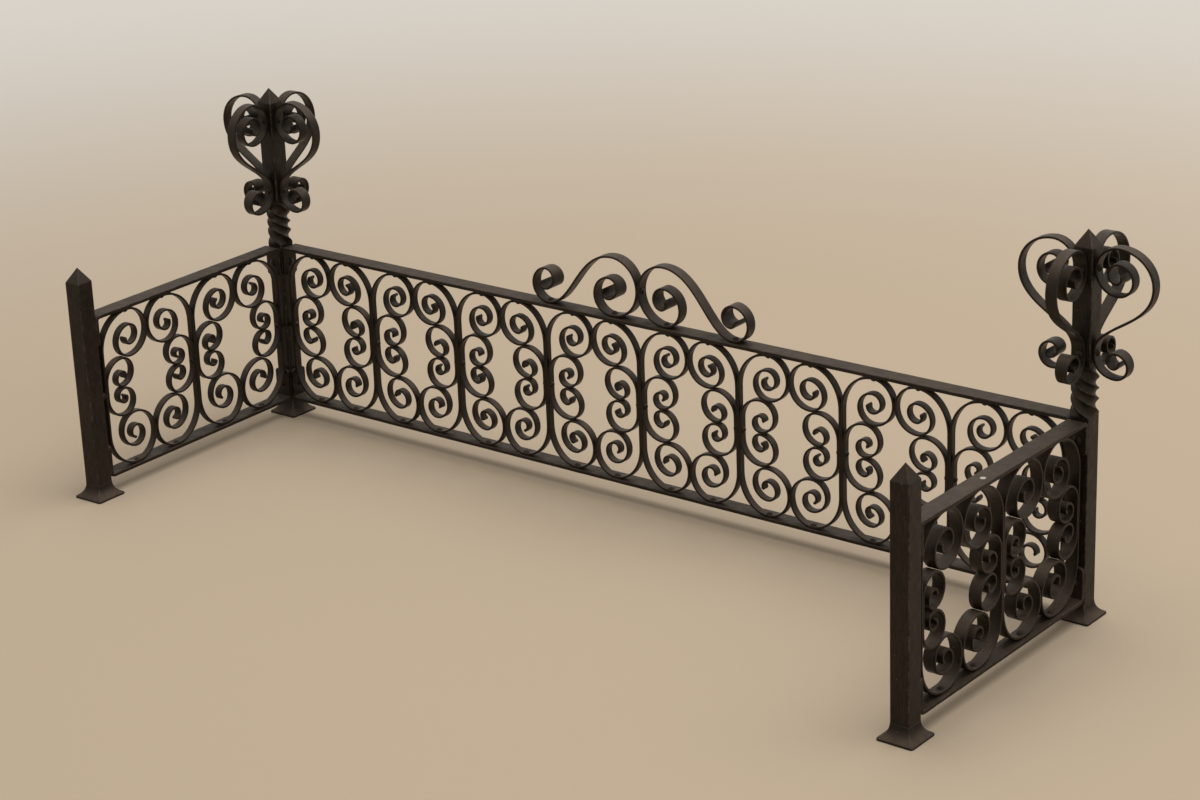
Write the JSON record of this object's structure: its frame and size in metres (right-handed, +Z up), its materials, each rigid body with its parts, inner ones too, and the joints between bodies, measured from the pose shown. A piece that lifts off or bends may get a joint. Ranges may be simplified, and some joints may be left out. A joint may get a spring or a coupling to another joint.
{
  "type": "fireplace fender",
  "caption": "Black wrought-iron hearth fender: scrollwork panels at the front and both sides, square posts, scroll finials and a double-scroll crest.",
  "frame": {"origin": "on the floor below the centre of the overall box", "axes": "+Z up, X along the fender's length with -X on the left as seen from in front, the front panel faces -Y and the side panels run back to +Y"},
  "size_m": [1.478, 0.5006, 0.4835],
  "materials": {
    "iron_post": "satin black over forged iron, worn on the edges",
    "iron_foot": "satin black over forged iron, scuffed",
    "iron_rail": "satin black, dusty brown on the upper faces",
    "iron_scroll": "satin black over bent flat bar",
    "iron_rivet": "satin black, domed and hammered"
  },
  "bodies": {
    "root": {"post_front_left": "iron_post", "post_front_right": "iron_post", "post_back_left": "iron_post", "post_back_right": "iron_post", "foot_front_left": "iron_foot", "foot_front_right": "iron_foot", "foot_back_left": "iron_foot", "foot_back_right": "iron_foot", "rail_front_top": "iron_rail", "rail_front_bottom": "iron_rail", "rail_left_top": "iron_rail", "rail_left_bottom": "iron_rail", "rail_right_top": "iron_rail", "rail_right_bottom": "iron_rail", "large_front_1": "iron_scroll", "large_front_2": "iron_scroll", "large_front_3": "iron_scroll", "large_front_4": "iron_scroll", "large_front_5": "iron_scroll", "large_front_6": "iron_scroll", "large_front_7": "iron_scroll", "large_front_8": "iron_scroll", "large_left_1": "iron_scroll", "large_left_2": "iron_scroll", "large_right_1": "iron_scroll", "large_right_2": "iron_scroll", "small_front_1": "iron_scroll", "small_front_2": "iron_scroll", "small_front_3": "iron_scroll", "small_front_4": "iron_scroll", "small_front_5": "iron_scroll", "small_front_6": "iron_scroll", "small_front_7": "iron_scroll", "small_front_8": "iron_scroll", "small_left_1": "iron_scroll", "small_left_2": "iron_scroll", "small_right_1": "iron_scroll", "small_right_2": "iron_scroll", "crest_left": "iron_scroll", "crest_right": "iron_scroll", "finial_left_outer": "iron_scroll", "finial_left_inner": "iron_scroll", "finial_left_front": "iron_scroll", "finial_left_back": "iron_scroll", "finial_right_outer": "iron_scroll", "finial_right_inner": "iron_scroll", "finial_right_front": "iron_scroll", "finial_right_back": "iron_scroll", "rivets_front_top": "iron_rivet", "rivets_front_bottom": "iron_rivet", "rivets_side_rails": "iron_rivet", "rivets_front_dividers": "iron_rivet", "rivets_side_dividers": "iron_rivet", "rivets_panel_ends": "iron_rivet", "spacers_panel_ends": "iron_rivet", "rivets_crest": "iron_rivet", "rivets_finial_left": "iron_rivet", "rivets_finial_right": "iron_rivet", "screws_lugs": "iron_rivet"}
  },
  "joints": []
}
